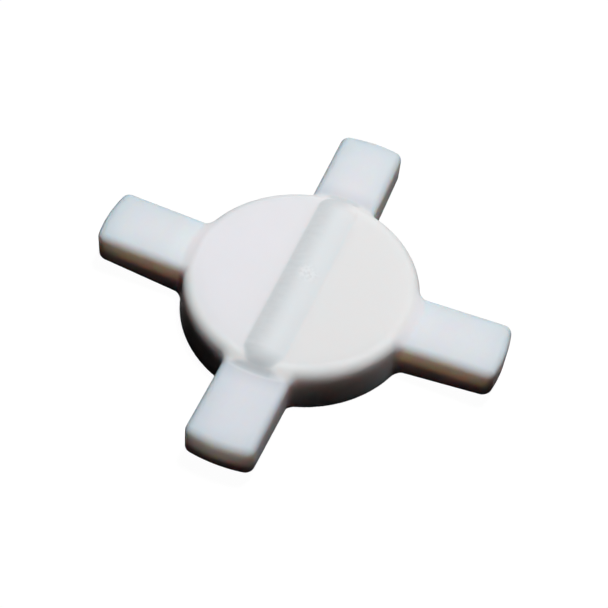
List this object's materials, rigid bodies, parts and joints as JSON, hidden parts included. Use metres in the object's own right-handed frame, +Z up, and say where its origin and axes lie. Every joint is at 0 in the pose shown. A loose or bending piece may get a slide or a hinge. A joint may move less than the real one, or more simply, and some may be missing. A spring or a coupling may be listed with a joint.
{
  "type": "magnetic stir bar",
  "caption": "Low round plastic hub with rising paddle arms and a rib over an enclosed bar magnet; it lies in a vessel and is spun from below to stir a liquid.",
  "frame": {"origin": "centre of the hub's flat underside, on the surface that the stir bar lies on", "axes": "+Z up, along the hub's axis, which it spins about; +Y along the rib and the bar magnet inside it; +X along the other two arms"},
  "size_m": [0.09, 0.09, 0.0121],
  "materials": {
    "ptfe": "smooth white PTFE, waxy, slightly translucent, with a soft low gloss",
    "magnet_metal": "dull grey cast magnet alloy, ground on its round side"
  },
  "bodies": {
    "root": {"ptfe_body": "ptfe", "bar_magnet": "magnet_metal"}
  },
  "joints": []
}
